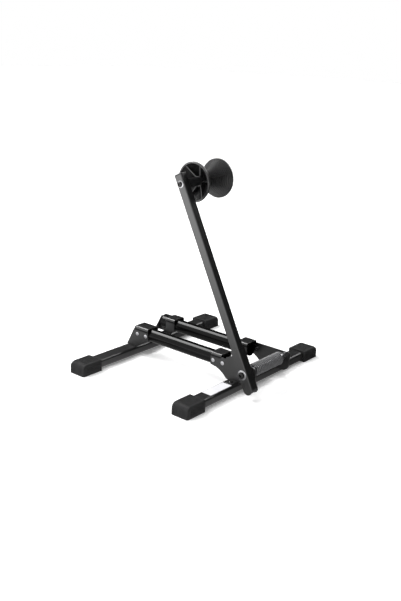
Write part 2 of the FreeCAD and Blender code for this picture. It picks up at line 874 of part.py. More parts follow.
def make_arm_sleeve():
    """A channel of bent sheet that wraps the foot of the arm, round at its lower end."""
    body = arm_body("arm_sleeve")
    sheet_ = cell("sleeve_sheet")
    low, top, edge = -cell("arm_foot"), cell("sleeve_top"), arm_half + sheet_
    bend = cell("sleeve_bend")
    inside = bend - sheet_
    round_ = arm_half + sheet_ / 2
    channel = new_sketch(body, "sleeve_section", "XY_Plane", low - round_)
    outline(channel, [
        (-arm_half, sleeve_outer), (edge - bend, sleeve_outer, bend),
        (edge, sleeve_outer + bend), (edge, sleeve_inner - bend, bend),
        (edge - bend, sleeve_inner), (-arm_half, sleeve_inner), (-arm_half, arm_inner),
        (arm_half - inside, arm_inner, -inside), (arm_half, arm_inner - inside),
        (arm_half, arm_outer + inside, -inside), (arm_half - inside, arm_outer),
        (-arm_half, arm_outer),
    ])
    pad(body, channel, top - low + round_)
    foot = side_sketch(body, "sleeve_round_foot", sleeve_inner + sheet_)
    outline(foot, [
        (-arm_half, low, round_), (sheet_ / 2, low - round_, round_), (edge, low),
        (edge + sheet_, low), (edge + sheet_, low - round_ - sheet_),
        (-edge - sheet_, low - round_ - sheet_), (-edge - sheet_, low),
    ])
    pocket(body, foot, sleeve_inner - sleeve_outer + 2 * sheet_)
    add_stop(body, sheet_)
    hole = side_sketch(body, "sleeve_pivot_hole", sleeve_inner)
    circle(hole, 0, 0, bush_hole)
    pocket(body, hole, sleeve_inner - sleeve_outer)
    return keep(body)


def add_stop(body, sheet_):
    """An ear on the inner plate whose folded foot rests on the front bracket's top edge."""
    left = cell("stop_left")
    floor = plate_top + cell("stop_gap")
    ear = side_sketch(body, "sleeve_ear", sleeve_inner)
    outline(ear, [
        to_arm(left, floor), to_arm(cell("pivot_x") - arm_half, floor),
        (sheet_ - arm_half, cell("stop_root")), (-arm_half, cell("stop_root")),
        to_arm(left, floor + cell("stop_rise")),
    ])
    pad(body, ear, sheet_)
    foot = side_sketch(body, "sleeve_stop", sleeve_inner - sheet_ + cell("stop_lap"))
    right = left + cell("stop_length")
    outline(foot, [to_arm(left, floor), to_arm(right, floor), to_arm(right, floor + sheet_),
                   to_arm(left, floor + sheet_)])
    pad(body, foot, cell("stop_lap"))


def plug_stud(body, name, low, length):
    """The part of a plug that goes inside the arm tube."""
    inset = cell("arm_wall") + cell("plug_fit")
    sketch = new_sketch(body, name, "XY_Plane", low)
    rounded_rectangle(sketch, inset - arm_half, arm_half - inset, arm_outer + inset,
                      arm_inner - inset, cell("arm_corner") - cell("arm_wall"))
    pad(body, sketch, length)


def make_arm_plugs():
    top = cell("arm_reach") + cell("arm_over")
    body = arm_body("arm_top_plug")
    plug_stud(body, "top_plug_stud", top - cell("plug_stud") / 2, cell("plug_stud") / 2)
    sketch = new_sketch(body, "top_plug_rim", "XY_Plane", top)
    rounded_rectangle(sketch, -arm_half, arm_half, arm_outer, arm_inner, cell("arm_corner"))
    pad(body, sketch, cell("plug_rim"))
    high = top + cell("plug_rim")
    rim = [number for number, edge in enumerate(body.Tip.Shape.Edges, start=1)
           if abs(edge.CenterOfMass.z - high.value) < 1e-3]
    fillet(body, cell("plug_rim") * 0.7, ["Edge%d" % number for number in rim])
    keep(body)

    foot = arm_body("arm_foot_plug")
    low = -cell("arm_foot")
    plug_stud(foot, "foot_plug_stud", low, cell("plug_stud"))
    sketch = side_sketch(foot, "foot_plug_round", arm_inner - cell("plug_fit"))
    outline(sketch, [(-arm_half, low, arm_half), (0, low - arm_half, arm_half),
                     (arm_half, low)])
    pad(foot, sketch, cell("arm_depth") - 2 * cell("plug_fit"))
    keep(foot)


# ---------------------------------------------------------------- roller and axle

def groove_step():
    """How many rings the groove has, and each ring's drop in radius and run in Y."""
    rings = int(SIZES["roller_rings"])
    drop = cell("roller_radius") - cell("roller_rim_round") / 2 - cell("roller_waist")
    return rings, drop / rings, (cell("roller_half") - cell("roller_rim")) / (rings + 0.5)


def groove_corners():
    """The stepped groove from the front rim to the rear one, as radius and Y."""
    rings, rise, run = groove_step()
    rim_y = cell("roller_half") - cell("roller_rim")
    top = cell("roller_radius") - cell("roller_rim_round") / 2
    front = []
    for ring in range(rings):
        radius = top - rise * ring
        y = run * ring - rim_y
        front += [(radius, y), (radius - rise, y)]
    rear = [(radius, -y) for radius, y in reversed(front)]
    return front + rear


def make_roller():
    """A V-grooved roller: two dished flanges on one hub, with ribs in each dish."""
    body = arm_body("roller", cell("arm_reach"))
    outer, half = cell("roller_radius"), cell("roller_half")
    rim_y = half - cell("roller_rim")
    round_ = cell("roller_rim_round")
    skin, hub, hub_y = cell("roller_skin"), cell("hub_radius"), cell("hub_half")
    dish_top = outer - cell("roller_rim_wall")
    rings, rise, run = groove_step()
    dish_low = 1.5 * run + skin
    dish_high = run / rise * (dish_top - cell("roller_waist")) + dish_low
    bore = cell("hub_bush_radius")
    front_rim = [
        (dish_top, -half), (outer - round_, -half, round_), (outer, round_ - half),
        (outer, -rim_y - round_ / 2), (outer - round_ / 2, -rim_y - round_ / 2),
    ]
    rear_rim = [
        (outer - round_ / 2, rim_y + round_ / 2), (outer, rim_y + round_ / 2),
        (outer, half - round_, round_), (outer - round_, half), (dish_top, half),
    ]
    dish = [(dish_top, dish_high), (cell("roller_waist"), dish_low), (hub, dish_low),
            (hub, hub_y), (bore, hub_y)]
    front_dish = [(radius, -y) for radius, y in reversed(dish)]
    sketch = new_sketch(body, "roller_profile", "XY_Plane")
    outline(sketch, front_rim + groove_corners() + rear_rim + dish + front_dish)
    revolve(body, sketch, "Y_Axis")
    ribs = new_sketch(body, "roller_ribs", "XY_Plane", -cell("rib_thickness") / 2)
    rib_y = half - cell("rib_recess")
    sunk = skin / 4
    for side in (1, -1):
        rib = [
            (hub - sunk, sunk * side), (hub - sunk, hub_y * side), (hub, hub_y * side),
            (dish_top, rib_y * side), (dish_top + sunk, rib_y * side),
            (dish_top + sunk, (dish_high - sunk) * side),
        ]
        outline(ribs, rib if side < 0 else rib[::-1])
    first = pad(body, ribs, cell("rib_thickness"))
    pattern = body.newObject("PartDesign::PolarPattern", "roller_rib_pattern")
    pattern.Originals = [first]
    pattern.Axis = (origin_feature(body, "Y_Axis"), [""])
    pattern.Angle = 360
    bind(pattern, "Occurrences", cell("rib_count"))
    body.Tip = pattern
    doc.recompute()
    return keep(body)


def on_axle(name, outer, inner, length, y_end):
    """A ring or tube on the roller's axle, in the arm's own frame."""
    body = arm_body(name, cell("arm_reach"))
    sketch = side_sketch(body, name + "_section", y_end)
    circle(sketch, 0, 0, outer)
    circle(sketch, 0, 0, inner)
    pad(body, sketch, length)
    return body


def make_axle():
    play, thick = cell("end_play"), cell("axle_washer_thickness")
    hub_y = cell("hub_half")
    sleeve_end = hub_y + play
    x = cell("pivot_x") - cell("arm_reach") * sine(cell("arm_lean"))
    z = cell("pivot_z") + cell("arm_reach") * cosine(cell("arm_lean"))
    head_under = arm_outer - thick
    stop = sleeve_end + thick + cell("axle_nut_height") + cell("bolt_overrun")
    socket_bolt("axle_bolt", x, z,
                (cell("axle_bolt"), cell("axle_head"), cell("axle_head_height"),
                 cell("axle_socket")), head_under, stop - head_under)
    keep(on_axle("axle_spacer", cell("axle_spacer"), axle_hole, -sleeve_end - arm_inner,
                 -sleeve_end))
    keep(on_axle("axle_sleeve", cell("axle_sleeve"), axle_hole, 2 * sleeve_end, sleeve_end))
    washers = [
        on_axle("axle_washer_front", cell("axle_washer"), axle_hole, thick, arm_outer),
        on_axle("axle_washer_rear", cell("axle_washer"), axle_hole, thick, sleeve_end + thick),
    ]
    keep(group("axle_washers", washers))
    lock_nut("axle_nut", x, sleeve_end + thick, z, cell("axle_nut_across"),
             cell("axle_nut_height"), axle_hole)
    bore = 2 * cell("hub_bush_radius")
    inner = cell("axle_sleeve") + 2 * cell("running_fit")
    length = cell("hub_bush_length")
    bushes = [
        on_axle("roller_bush_front", bore, inner, length, length - hub_y),
        on_axle("roller_bush_rear", bore, inner, length, hub_y),
    ]
    keep(group("roller_bushes", bushes))


# ---------------------------------------------------------------- the whole rack

make_leg("leg_left", -1)
make_leg("leg_right", 1)
for end, end_name in ((-1, "front"), (1, "rear")):
    make_end_cap("end_cap_%s_left" % end_name, -1, end)
    make_end_cap("end_cap_%s_right" % end_name, 1, end)
    make_cross_tube("cross_tube_" + end_name, end)
    make_left_bracket("bracket_%s_left" % end_name, end)
    make_right_bracket("bracket_%s_right" % end_name, end)
make_label()
make_bracket_rivets()
make_foot_rivets()
make_pivot()
make_spring()
make_arm_tube()
make_arm_sleeve()
make_arm_plugs()
make_roller()
make_axle()
doc.recompute()

for thing in doc.Objects:
    if "Invalid" in thing.State or "Error" in thing.State:
        raise RuntimeError("%s failed: %s" % (thing.Name, thing.State))
for thing in PARTS:
    if thing.Shape.isNull() or not thing.Shape.isValid():
        raise RuntimeError("%s has no valid shape" % thing.Label)

os.makedirs("parts", exist_ok=True)
for thing in PARTS:
    thing.Shape.exportStep("parts/%s.step" % thing.Label)
print("%d nodes written" % len(PARTS))
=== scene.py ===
import json
import math

import bmesh
import bpy
from mathutils import Matrix, Vector


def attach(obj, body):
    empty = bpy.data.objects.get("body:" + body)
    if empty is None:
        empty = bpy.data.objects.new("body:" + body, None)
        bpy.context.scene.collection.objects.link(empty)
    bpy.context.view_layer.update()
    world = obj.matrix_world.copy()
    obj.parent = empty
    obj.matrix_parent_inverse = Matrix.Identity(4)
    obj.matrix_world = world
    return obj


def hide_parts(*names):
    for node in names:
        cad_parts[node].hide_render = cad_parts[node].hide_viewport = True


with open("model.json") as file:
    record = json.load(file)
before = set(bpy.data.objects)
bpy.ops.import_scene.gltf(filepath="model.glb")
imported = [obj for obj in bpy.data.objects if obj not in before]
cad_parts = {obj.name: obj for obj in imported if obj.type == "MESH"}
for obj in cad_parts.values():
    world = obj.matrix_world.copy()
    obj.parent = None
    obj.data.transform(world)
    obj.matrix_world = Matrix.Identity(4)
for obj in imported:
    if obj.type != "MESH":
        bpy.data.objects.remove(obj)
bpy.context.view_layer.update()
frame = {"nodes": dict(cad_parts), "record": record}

NODES = frame["nodes"]

# ---------------------------------------------------------------- camera
# The camera fitted to the photograph: its place in metres, its angles in radians, and its
# focal length in pixels of the 401 x 601 frame.
CAMERA_PLACE = Vector((0.92945, -1.13180, 0.61128))
CAMERA_YAW = 0.6870
CAMERA_PITCH = 0.3162
CAMERA_ROLL = 0.0353
FOCAL_PIXELS = 798.58
FRAME_HEIGHT = 601
SENSOR = 36.0


def make_camera():
    """The camera that looks at the rack as the photograph does."""
    data = bpy.data.cameras.new("view_camera")
    data.sensor_width = SENSOR
    data.lens = FOCAL_PIXELS / FRAME_HEIGHT * SENSOR
    data.clip_start, data.clip_end = 0.05, 50.0
    camera = bpy.data.objects.new("view_camera", data)
    bpy.context.scene.collection.objects.link(camera)
    forward = Vector((-math.sin(CAMERA_YAW) * math.cos(CAMERA_PITCH),
                      math.cos(CAMERA_YAW) * math.cos(CAMERA_PITCH),
                      -math.sin(CAMERA_PITCH)))
    right = Vector((math.cos(CAMERA_YAW), math.sin(CAMERA_YAW), 0.0))
    down = forward.cross(right)
    cosine, sine = math.cos(CAMERA_ROLL), math.sin(CAMERA_ROLL)
    across = right * cosine - down * sine
    up = -(right * sine + down * cosine)
    turned = Matrix((across, up, -forward)).transposed().to_4x4()
    camera.matrix_world = Matrix.Translation(CAMERA_PLACE) @ turned
    bpy.context.scene.camera = camera


# ---------------------------------------------------------------- material helpers

def new_material(name):
    """A material with one principled shader, its node tree and the shader."""
    material = bpy.data.materials.new(name)
    material.use_nodes = True
    tree = material.node_tree
    tree.nodes.clear()
    output = tree.nodes.new("ShaderNodeOutputMaterial")
    shader = tree.nodes.new("ShaderNodeBsdfPrincipled")
    tree.links.new(shader.outputs["BSDF"], output.inputs["Surface"])
    return material, tree, shader


def noise(tree, scale, detail=3.0, stretch=(1.0, 1.0, 1.0)):
    """Noise in the object's own coordinates, which are metres in the rack's frame."""
    place = tree.nodes.new("ShaderNodeTexCoord")
    mapping = tree.nodes.new("ShaderNodeMapping")
    mapping.inputs["Scale"].default_value = stretch
    texture = tree.nodes.new("ShaderNodeTexNoise")
    texture.inputs["Scale"].default_value = scale
    texture.inputs["Detail"].default_value = detail
    tree.links.new(place.outputs["Object"], mapping.inputs["Vector"])
    tree.links.new(mapping.outputs["Vector"], texture.inputs["Vector"])
    return texture.outputs["Fac"]


def spread(tree, value, low, high):
    """Maps 0..1 to low..high."""
    node = tree.nodes.new("ShaderNodeMapRange")
    node.inputs["To Min"].default_value = low
    node.inputs["To Max"].default_value = high
    tree.links.new(value, node.inputs["Value"])
    return node.outputs["Result"]


def tint(tree, value, dark, light):
    """Mixes two colours by a value."""
    ramp = tree.nodes.new("ShaderNodeValToRGB")
    ramp.color_ramp.elements[0].color = (*dark, 1.0)
    ramp.color_ramp.elements[0].position = 0.3
    ramp.color_ramp.elements[1].color = (*light, 1.0)
    ramp.color_ramp.elements[1].position = 0.7
    tree.links.new(value, ramp.inputs["Fac"])
    return ramp.outputs["Color"]


def bump(tree, shader, value, strength, distance):
    """Lifts the surface by a value."""
    node = tree.nodes.new("ShaderNodeBump")
    node.inputs["Strength"].default_value = strength
    node.inputs["Distance"].default_value = distance
    tree.links.new(value, node.inputs["Height"])
    tree.links.new(node.outputs["Normal"], shader.inputs["Normal"])


def grey(level):
    """A grey that leans a little to blue."""
    return (level, level, level * 1.03)


def finish(name, dark, light, rough, scale, bump_strength, bump_distance, metal=0.0,
           specular=0.5, coat=0.0, coat_rough=0.1, stretch=(1.0, 1.0, 1.0)):
    """A surface whose colour, roughness and grain all vary a little over it."""
    material, tree, shader = new_material(name)
    fine = noise(tree, scale, 4.0, stretch)
    broad = noise(tree, scale * 0.06, 2.0)
    tree.links.new(tint(tree, broad, grey(dark), grey(light)), shader.inputs["Base Color"])
    tree.links.new(spread(tree, fine, rough[0], rough[1]), shader.inputs["Roughness"])
    shader.inputs["Metallic"].default_value = metal
    shader.inputs["Specular IOR Level"].default_value = specular
    shader.inputs["Coat Weight"].default_value = coat
    shader.inputs["Coat Roughness"].default_value = coat_rough
    bump(tree, shader, fine, bump_strength, bump_distance)
    return material


# ---------------------------------------------------------------- materials

MATERIALS = {
    "satin_black_paint": finish("satin_black_paint", 0.005, 0.007, (0.30, 0.40), 900.0,
                                0.10, 0.0002, specular=1.0),
    "gloss_black_paint": finish("gloss_black_paint", 0.004, 0.006, (0.14, 0.22), 500.0,
                                0.05, 0.0002, coat=0.2),
    "cap_rubber": finish("cap_rubber", 0.012, 0.018, (0.55, 0.75), 1500.0, 0.35, 0.0003,
                         specular=0.4),
    "rivet_aluminium": finish("rivet_aluminium", 0.62, 0.72, (0.25, 0.4), 1200.0, 0.1, 0.0001,
                              metal=1.0),
    "label_paper": finish("label_paper", 0.60, 0.64, (0.5, 0.6), 2500.0, 0.1, 0.0001),
    "black_steel": finish("black_steel", 0.004, 0.006, (0.2, 0.3), 1500.0, 0.1, 0.0001),
    # Partly the plated steel's own grey and partly painted shade: the base colour is set darker,
    # as the steel looks in the shade the washers sit in.
    "bright_steel": finish("bright_steel", 0.42, 0.50, (0.22, 0.32), 1200.0, 0.08, 0.0001,
                           metal=1.0),
    # Painted sheen: the spring's wire is black, and this grey base colour stands in for the light
    # its coils reflect.
    "spring_steel": finish("spring_steel", 0.10, 0.13, (0.3, 0.4), 1500.0, 0.1, 0.0002,
                           specular=0.8),
    "plug_plastic": finish("plug_plastic", 0.010, 0.014, (0.25, 0.35), 1000.0, 0.1, 0.0002),
    "roller_plastic": finish("roller_plastic", 0.008, 0.013, (0.28, 0.42), 1200.0, 0.12, 0.0002,
                             specular=0.7),
    "bush_plastic": finish("bush_plastic", 0.15, 0.2, (0.4, 0.5), 1200.0, 0.1, 0.0002),
}
TUBE_PAINT = finish("tube_gloss_paint", 0.002, 0.003, (0.08, 0.14), 300.0, 0.02, 0.0001,
                    specular=0.15)


def dress_node(node, slot):
    """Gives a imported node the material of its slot."""
    obj = NODES[node]
    obj.data.materials.clear()
    obj.data.materials.append(MATERIALS[slot])


for part in frame["record"]["subparts"]:
    dress_node(part["node"], part["material_slot"])


# ---------------------------------------------------------------- mesh helpers
# Sizes below are in millimetres, in the rack's frame: X along the cross tubes, Y along the
# legs, Z up.
MM = 0.001
SHARP_ANGLE = math.radians(32)


def rounded(corners, steps=6):
    """The points of an outline; a corner's third value is the radius that rounds it."""
    points = []
    for index, corner in enumerate(corners):
        here = Vector(corner[:2])
        radius = corner[2] if len(corner) == 3 else 0.0
        if not radius:
            points.append(here)
            continue
        back = (Vector(corners[index - 1][:2]) - here).normalized()
        onward = (Vector(corners[(index + 1) % len(corners)][:2]) - here).normalized()
        half = back.angle(onward) / 2
        centre = here + (back + onward).normalized() * (radius / math.sin(half))
        start = here + back * (radius / math.tan(half)) - centre
        stop = here + onward * (radius / math.tan(half)) - centre
        turn = math.atan2(start.x * stop.y - start.y * stop.x, start.dot(stop))
        for step in range(steps + 1):
            angle = turn * step / steps
            points.append(centre + Vector((
                start.x * math.cos(angle) - start.y * math.sin(angle),
                start.x * math.sin(angle) + start.y * math.cos(angle))))
    return points


def bow(start, stop, depth, steps=10):
    """Points between start and stop on a shallow curve, depth to the left of the chord."""
    start, stop = Vector(start), Vector(stop)
    chord = stop - start
    left = Vector((-chord.y, chord.x)).normalized()
    return [tuple(start + chord * (step / steps)
                  + left * depth * math.sin(math.pi * step / steps))
            for step in range(1, steps)]


def prism(bm, outline, axis, low, high):
    """An outline pushed out along an axis. Its two values are the other two coordinates."""
    place = {"X": lambda u, v, w: (w, u, v), "Y": lambda u, v, w: (u, w, v),
             "Z": lambda u, v, w: (u, v, w)}[axis]
    rings = [[bm.verts.new(Vector(place(u, v, level)) * MM) for u, v in outline]
             for level in (low, high)]
    for ring in rings:
        bm.faces.new(ring)
    count = len(outline)
    for index in range(count):
        after = (index + 1) % count
        bm.faces.new((rings[0][index], rings[0][after], rings[1][after], rings[1][index]))


def lathe(bm, profile, centre, along, segments=64, closed=False):
    """Turns a profile of (radius, distance) about a line. A radius may depend on the angle."""
    axis = Vector(along).normalized()
    side = Vector((0, 0, 1)) if abs(axis.z) < 0.9 else Vector((1, 0, 0))
    side = (side - axis * side.dot(axis)).normalized()
    other = axis.cross(side)
    rings = []
    for radius, distance in profile:
        middle = Vector(centre) + axis * distance
        if radius == 0:
            rings.append([bm.verts.new(middle * MM)])
            continue
        ring = []
        for index in range(segments):
            angle = 2 * math.pi * index / segments
            reach = radius(angle) if callable(radius) else radius
            spoke = side * math.cos(angle) + other * math.sin(angle)
            ring.append(bm.verts.new((middle + spoke * reach) * MM))
        rings.append(ring)
    pairs = list(zip(rings, rings[1:]))
    if closed:
        pairs.append((rings[-1], rings[0]))
    for first, second in pairs:
        for index in range(segments):
            after = (index + 1) % segments
            corners = [first[index % len(first)], first[after % len(first)],
                       second[after % len(second)], second[index % len(second)]]
            kept = [corner for number, corner in enumerate(corners)
                    if corner not in corners[:number]]
            bm.faces.new(kept)


def hexagon(across):
    """The radius of a hexagon at an angle, for lathe."""
    def radius(angle):
        return across / 2 / math.cos((angle % (math.pi / 3)) - math.pi / 6)
    return radius


def finish_piece(name, bm, body, slot, replaced=(), bevel=0.0, material=None):
    """Makes the object, softens its edges and hangs it on its body."""
    bmesh.ops.recalc_face_normals(bm, faces=bm.faces)
    mesh = bpy.data.meshes.new(name)
    bm.to_mesh(mesh)
    bm.free()
    mesh.polygons.foreach_set("use_smooth", [True] * len(mesh.polygons))
    mesh.set_sharp_from_angle(angle=SHARP_ANGLE)
    mesh.materials.append(material or MATERIALS[slot])
    piece = bpy.data.objects.new(name, mesh)
    bpy.context.scene.collection.objects.link(piece)
    if bevel:
        soften(piece, bevel)
    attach(piece, body)
    if replaced:
        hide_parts(*replaced)


def soften(obj, width):
    """Rounds the sharp edges by a width in millimetres."""
    modifier = obj.modifiers.new("soft_edges", "BEVEL")
    modifier.width = width * MM
    modifier.segments = 2
    modifier.limit_method = "ANGLE"
    modifier.angle_limit = SHARP_ANGLE
    modifier.harden_normals = True


# ---------------------------------------------------------------- tubes, brackets and rivets

TUBE_Y, TUBE_Z, TUBE_RADIUS, TUBE_WALL = 39.5, 47.8, 13.3, 1.5
TUBE_LEFT, TUBE_RIGHT = -126.0, 99.0
LEG_TOP = 20.0
PLATE_IN, SHEET = 13.5, 2.0
PLATE_OUT = PLATE_IN + SHEET
WEB_TOP = TUBE_Z + PLATE_OUT
PLATE_TOP = WEB_TOP - 4.8
BEND_OUTSIDE, BEND_INSIDE, WEB_SKIRT = 3.5, 1.5, 3.0
LOW_EDGE, STRAP_CORNER = 38.5, 2.0
# Left brackets: where a plate's top, its foot and its web start, by side
LEFT_STARTS = {-1: (-123.0, -143.0, -122.0), 1: (-136.0, -156.5, -110.0)}
LEFT_INBOARD, LEFT_LOW_INBOARD, LEFT_FOOT_END, LEFT_STRAP_START = -86.0, -84.5, -119.0, -109.0
LEFT_TOP_CORNER, LEFT_SWEEP = 3.0, 2.4
REAR_LIP, LIP_OVERLAP = 14.0, 0.5
RIGHT_INBOARD, RIGHT_WEB_END, RIGHT_FOOT_START, RIGHT_EDGE = 75.0, 99.5, 113.5, 178.0
RIGHT_LOW_CORNER, RIGHT_TOP_CORNER, RIGHT_SWEEP = 16.0, 5.0, 4.6
FLANGE_START, FLANGE_STOP, FLANGE_REACH, FLANGE_CORNER = 123.0, 139.0, 17.0, 4.0
RIVETS_X = (-114.0, -91.5, 81.0, 103.0)
RIVET_PROFILE = [(0.0, -5.0), (2.3, -5.0), (2.3, 0.0), (3.9, 0.0), (3.9, 0.45), (3.3, 1.0),
                 (2.2, 1.4), (1.15, 1.45), (0.95, 1.2), (0.9, 0.5), (0.0, 0.45)]
PLATE_BEVEL, TUBE_BEVEL = 0.3, 0.35


def make_tube(name, side, replaced):
    """A cross tube with open ends; side is -1 for the front one and 1 for the rear one."""
    bm = bmesh.new()
    inner = TUBE_RADIUS - TUBE_WALL
    lathe(bm, [(TUBE_RADIUS, 0.0), (TUBE_RADIUS, TUBE_RIGHT - TUBE_LEFT),
               (inner, TUBE_RIGHT - TUBE_LEFT), (inner, 0.0)],
          (TUBE_LEFT, side * TUBE_Y, TUBE_Z), (1, 0, 0), segments=96, closed=True)
    finish_piece(name, bm, "base", "gloss_black_paint", [replaced], bevel=TUBE_BEVEL,
                 material=TUBE_PAINT)


def web_section(side):
    """The bent top of a bracket, seen along X."""
    low, under = PLATE_TOP - WEB_SKIRT, WEB_TOP - SHEET
    outline = rounded([
        (-PLATE_OUT, low), (-PLATE_OUT, WEB_TOP, BEND_OUTSIDE), (PLATE_OUT, WEB_TOP, BEND_OUTSIDE),
        (PLATE_OUT, low), (PLATE_IN, low), (PLATE_IN, under, BEND_INSIDE),
        (-PLATE_IN, under, BEND_INSIDE), (-PLATE_IN, low)])
    return [(u + side * TUBE_Y, v) for u, v in outline]


def plate_span(side, facing):
    """The Y range of the plate on the outer (1) or inner (-1) side of a tube."""
    levels = (side * (TUBE_Y + facing * PLATE_IN), side * (TUBE_Y + facing * PLATE_OUT))
    return min(levels), max(levels)


def add_strap(bm, side, start, stop):
    """The short inner plate of a bracket, from the web down past the tube's middle."""
    outline = rounded([(start, LOW_EDGE, STRAP_CORNER), (stop, LOW_EDGE, STRAP_CORNER),
                       (stop, PLATE_TOP), (start, PLATE_TOP)])
    prism(bm, outline, "Y", *plate_span(side, -1))


def make_left_bracket(name, side, replaced):
    """An outer plate down to the leg, a short inner strap and the bent web over the tube."""
    bm = bmesh.new()
    top, foot, web = LEFT_STARTS[side]
    heel, toe = (LEFT_FOOT_END, LEG_TOP), (LEFT_LOW_INBOARD, LOW_EDGE)
    outer = [(foot, LEG_TOP), heel] + bow(heel, toe, LEFT_SWEEP) + [
        toe, (LEFT_INBOARD, PLATE_TOP), (top, PLATE_TOP, LEFT_TOP_CORNER)]
    prism(bm, rounded(outer), "Y", *plate_span(side, 1))
    add_strap(bm, side, LEFT_STRAP_START, LEFT_INBOARD)
    prism(bm, web_section(side), "X", web, LEFT_INBOARD)
    if side > 0:
        add_folded_edge(bm, top, foot, web)
    finish_piece(name, bm, "base", "satin_black_paint", [replaced], bevel=PLATE_BEVEL)


def add_folded_edge(bm, top, foot, web):
    """The rear left plate's slanted edge and top, folded in over the tube's end."""
    inner = TUBE_Y + PLATE_IN
    outline = [(foot, LEG_TOP), (foot + SHEET, LEG_TOP), (top + SHEET, PLATE_TOP - SHEET),
               (web, PLATE_TOP - SHEET), (web, PLATE_TOP), (top, PLATE_TOP)]
    prism(bm, outline, "Y", inner - REAR_LIP, inner + LIP_OVERLAP)


def make_right_bracket(name, side, replaced):
    """The same three parts, the outer plate long enough for the pivot, and a foot flange."""
    bm = bmesh.new()
    heel, toe = (RIGHT_INBOARD, LOW_EDGE), (RIGHT_FOOT_START, LEG_TOP)
    outer = [heel] + bow(heel, toe, RIGHT_SWEEP) + [
        toe, (RIGHT_EDGE, LEG_TOP, RIGHT_LOW_CORNER), (RIGHT_EDGE, PLATE_TOP, RIGHT_TOP_CORNER),
        (RIGHT_INBOARD, PLATE_TOP)]
    prism(bm, rounded(outer), "Y", *plate_span(side, 1))
    add_strap(bm, side, RIGHT_INBOARD, RIGHT_WEB_END)
    prism(bm, web_section(side), "X", RIGHT_INBOARD, RIGHT_WEB_END)
    root = side * (TUBE_Y + PLATE_IN + SHEET / 2)
    tip = side * (TUBE_Y + PLATE_OUT + FLANGE_REACH)
    flange = rounded([(FLANGE_START, root), (FLANGE_STOP, root),
                      (FLANGE_STOP, tip, FLANGE_CORNER), (FLANGE_START, tip, FLANGE_CORNER)])
    prism(bm, flange, "Z", LEG_TOP, LEG_TOP + SHEET)
    finish_piece(name, bm, "base", "satin_black_paint", [replaced], bevel=PLATE_BEVEL)


def rivet(bm, place, out):
    """The dimpled head of a blind rivet, and the shank behind it."""
    lathe(bm, RIVET_PROFILE, place, out, segments=32)


def make_rivets():
    """The rivets through brackets and tubes, and those of the foot flanges."""
    bm = bmesh.new()
    for side in (-1, 1):
        for x in RIVETS_X:
            rivet(bm, (x, side * (TUBE_Y + PLATE_OUT), TUBE_Z), (0, side, 0))
    finish_piece("bracket_rivet_heads", bm, "base", "rivet_aluminium", ["bracket_rivets"])
    bm = bmesh.new()
    for side in (-1, 1):
        y = side * (TUBE_Y + PLATE_OUT + FLANGE_REACH / 2)
        rivet(bm, ((FLANGE_START + FLANGE_STOP) / 2, y, LEG_TOP + SHEET), (0, 0, 1))
    finish_piece("foot_rivet_heads", bm, "base", "black_steel", ["foot_rivets"])


# ---------------------------------------------------------------- arm, bolts and washers

PIVOT = Vector((162.9, 0.0, 48.0))
LEAN = math.radians(26.36)
REACH = 355.2
ALONG = Vector((-math.sin(LEAN), 0.0, math.cos(LEAN)))
AXLE = PIVOT + ALONG * REACH
ARM_FRONT, SLEEVE_FRONT = -72.3, -73.95
ARM_BEVELS = {"arm_tube": 0.3, "arm_top_plug": 0.6, "arm_sleeve": 0.35, "arm_foot_plug": 0.4}
# Washers: radius, hole and thickness
PIVOT_WASHER, AXLE_WASHER = (9.2, 4.1, 1.5), (6.8, 3.05, 1.1)
# Heads: radius, height and the hexagon's width across its flats
PIVOT_HEAD, AXLE_HEAD = (6.3, 4.4, 5.0), (4.7, 3.4, 3.2)
# Shanks: radius, the chamfered end's radius, and how far that end goes on
PIVOT_SHANK, AXLE_SHANK = (3.95, 3.4, 0.7), (2.95, 2.5, 0.6)
PIVOT_SUNK, PIVOT_BEYOND = 1.0, 11.5
AXLE_SUNK, AXLE_LENGTH, AXLE_REAR = 0.8, 106.6, 24.2


def socket_head(bm, place, size):
    """A domed bolt head with a hexagon socket, facing the front."""
    radius, height, across = size
    crown, floor = height * 0.45, height * 0.35
    lathe(bm, [(0.0, 0.0), (radius, 0.0), (radius, crown), (radius * 0.93, height * 0.72),
               (radius * 0.72, height * 0.95), (across * 0.62, height),
               (hexagon(across), height - 0.15), (hexagon(across), floor), (0.0, floor)],
          place, (0, -1, 0), segments=48)


def shank(bm, place, size, length):
    """A bolt's shank from front to rear, with a chamfered end."""
    radius, end_radius, end = size
    lathe(bm, [(0.0, 0.0), (radius, 0.0), (radius, length), (end_radius, length + end),
               (0.0, length + end)], place, (0, 1, 0), segments=48)


def washer(bm, place, size, out):
    """A washer that is dished, thinner at its rim."""
    outer, inner, thick = size
    rim = thick * 0.3
    lathe(bm, [(inner, 0.0), (outer - 0.2, 0.0), (outer, 0.15), (outer, rim),
               (outer - 0.25, rim + 0.1), (inner, thick)], place, out, closed=True)


def make_washers(name, body, replaced, size, front, rear):
    """Two washers, their places given as points."""
    bm = bmesh.new()
    washer(bm, front, size, (0, -1, 0))
    washer(bm, rear, size, (0, 1, 0))
    finish_piece(name, bm, body, "bright_steel", [replaced])


